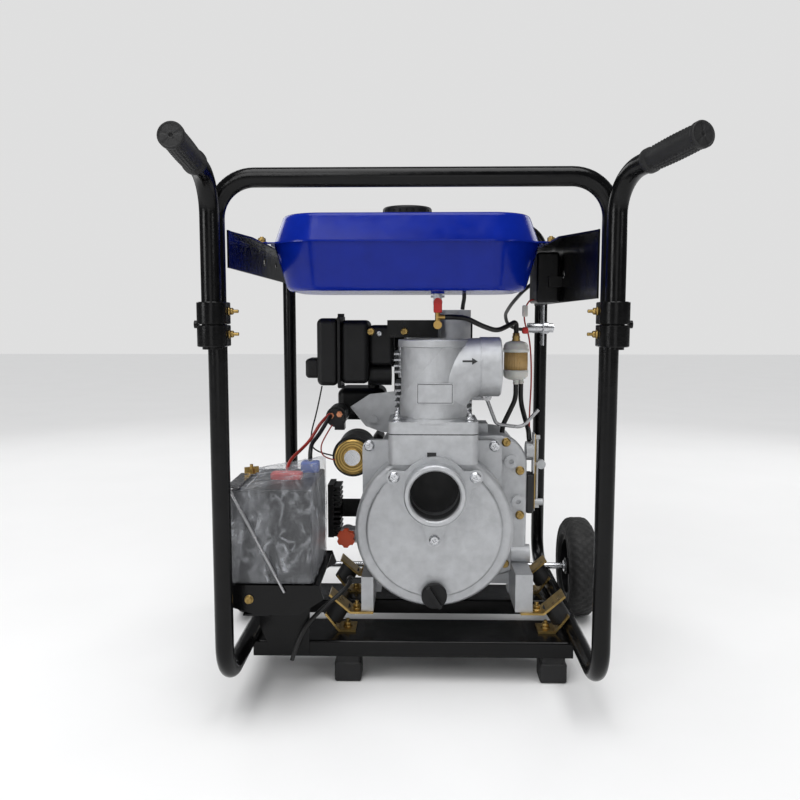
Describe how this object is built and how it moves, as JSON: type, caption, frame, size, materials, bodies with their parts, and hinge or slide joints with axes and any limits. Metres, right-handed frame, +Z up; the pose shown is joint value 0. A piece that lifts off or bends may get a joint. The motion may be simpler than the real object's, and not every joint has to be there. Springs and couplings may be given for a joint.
{
  "type": "engine-driven trash pump",
  "caption": "Self-priming trash pump driven by an air-cooled single-cylinder engine, in a tube frame with handles, wheels, fuel tank and starting battery.",
  "frame": {"origin": "on the ground, below the middle of the whole machine's box", "axes": "-Y is the way the suction port faces, +X the way the discharge port faces, +Z up"},
  "size_m": [0.818, 0.9311, 0.9305],
  "materials": {
    "frame_black": "gloss black enamel",
    "tank_blue": "gloss blue enamel",
    "cast_aluminium": "sand-cast, satin",
    "machined_aluminium": "machined, satin",
    "zinc_yellow": "yellow passivated zinc",
    "zinc_silver": "bright zinc",
    "steel": "turned steel",
    "cast_iron": "as cast",
    "rubber": "moulded",
    "tyre": "moulded, matte",
    "black_plastic": "textured",
    "black_sheet": "satin black",
    "battery_black": "moulded",
    "clear_film": "clear film",
    "filter_white": "translucent white",
    "red_plastic": "moulded",
    "orange_plastic": "moulded",
    "hose": "smooth"
  },
  "bodies": {
    "frame": {"front_hoop": "frame_black", "rear_hoop": "frame_black", "cross_channels": "frame_black", "rubber_feet": "rubber", "wheel_axle": "zinc_silver", "handle_clamps": "frame_black", "zinc_bolts": "zinc_yellow", "tank_brackets": "frame_black", "tank_upper_shell": "tank_blue", "tank_lower_shell": "tank_blue", "switch_box": "black_sheet", "fuel_cock": "zinc_yellow", "fuel_hoses": "hose", "fuel_filter": "filter_white", "pump_casing": "cast_aluminium", "pump_cover": "cast_aluminium", "suction_flange": "machined_aluminium", "discharge_elbow": "cast_aluminium", "pump_seals": "rubber", "pump_bolts": "zinc_silver", "cylinder_block": "cast_aluminium", "crankcase_cover": "cast_aluminium", "cylinder_head": "cast_aluminium", "rocker_cover": "cast_aluminium", "cooling_shroud": "black_sheet", "recoil_starter": "black_sheet", "starter_motor": "black_sheet", "starter_solenoid": "black_sheet", "voltage_regulator": "black_sheet", "air_cleaner": "black_plastic", "muffler": "black_sheet", "injection_pump": "zinc_yellow", "mount_rubbers": "rubber", "mount_brackets": "zinc_yellow", "battery_tray": "frame_black", "battery": "battery_black", "battery_clamp": "zinc_silver", "battery_bag": "clear_film", "key_switch": "zinc_silver", "wire_harness": "hose", "loose_cable": "hose"},
    "rotor": {"crankshaft": "steel", "flywheel": "cast_iron", "impeller": "cast_iron"},
    "left_wheel": {"left_rim": "black_plastic", "left_tyre": "tyre"},
    "right_wheel": {"right_rim": "black_plastic", "right_tyre": "tyre"},
    "left_handle": {"left_handle_tube": "frame_black", "left_grip": "rubber"},
    "right_handle": {"right_handle_tube": "frame_black", "right_grip": "rubber"},
    "fuel_cap": {"fuel_cap": "black_plastic"},
    "cock_lever": {"fuel_cock_lever": "red_plastic"},
    "oil_cap": {"oil_cap": "orange_plastic"},
    "drain_plug": {"drain_plug": "black_plastic"},
    "suction_flap": {"suction_flap": "rubber"},
    "recoil_handle": {"recoil_handle": "black_plastic"},
    "key_core": {"key_core": "zinc_silver"},
    "control_lever": {"control_lever": "steel"}
  },
  "joints": [
    {"name": "crank_spin", "type": "hinge", "parent": "frame", "child": "rotor", "pos_m": [0.04, 0.1006, 0.287], "axis": [0, 1, 0], "continuous": true},
    {"name": "left_wheel_spin", "type": "hinge", "parent": "frame", "child": "left_wheel", "pos_m": [-0.376, 0.3106, 0.112], "axis": [1, 0, 0], "continuous": true},
    {"name": "right_wheel_spin", "type": "hinge", "parent": "frame", "child": "right_wheel", "pos_m": [0.376, 0.3106, 0.112], "axis": [1, 0, 0], "continuous": true},
    {"name": "left_handle_turn", "type": "hinge", "parent": "frame", "child": "left_handle", "pos_m": [-0.305, -0.2814, 0.7], "axis": [0, 0, 1], "range_deg": [-90, 75]},
    {"name": "right_handle_turn", "type": "hinge", "parent": "frame", "child": "right_handle", "pos_m": [0.305, -0.2814, 0.7], "axis": [0, 0, 1], "range_deg": [-95, 69]},
    {"name": "fuel_cap_turn", "type": "hinge", "parent": "frame", "child": "fuel_cap", "pos_m": [-0.013, 0.1006, 0.89], "axis": [0, 0, 1], "range_deg": [0, 90]},
    {"name": "fuel_cock_turn", "type": "hinge", "parent": "frame", "child": "cock_lever", "pos_m": [0.046, 0.0256, 0.712], "axis": [0, 1, 0], "range_deg": [0, 90]},
    {"name": "oil_cap_turn", "type": "hinge", "parent": "frame", "child": "oil_cap", "pos_m": [-0.134, 0.0606, 0.245], "axis": [0, 1, 0], "range_deg": [0, 360]},
    {"name": "drain_plug_turn", "type": "hinge", "parent": "frame", "child": "drain_plug", "pos_m": [0.04, -0.0494, 0.166], "axis": [0, 1, 0], "range_deg": [0, 360]},
    {"name": "suction_flap_swing", "type": "hinge", "parent": "frame", "child": "suction_flap", "pos_m": [0.04, -0.0084, 0.421], "axis": [1, 0, 0], "range_deg": [0, 15]},
    {"name": "recoil_pull", "type": "slide", "parent": "frame", "child": "recoil_handle", "axis": [-0.8087, 0, 0.5882], "range_m": [0, 0.09], "stiffness_N_per_m": 60},
    {"name": "key_turn", "type": "hinge", "parent": "frame", "child": "key_core", "pos_m": [0.315, 0.4046, 0.659], "axis": [1, 0, 0], "range_deg": [0, 60]},
    {"name": "control_lever_swing", "type": "hinge", "parent": "frame", "child": "control_lever", "pos_m": [0.147, 0.0966, 0.526], "axis": [0, -1, 0], "range_deg": [0, 18]}
  ]
}
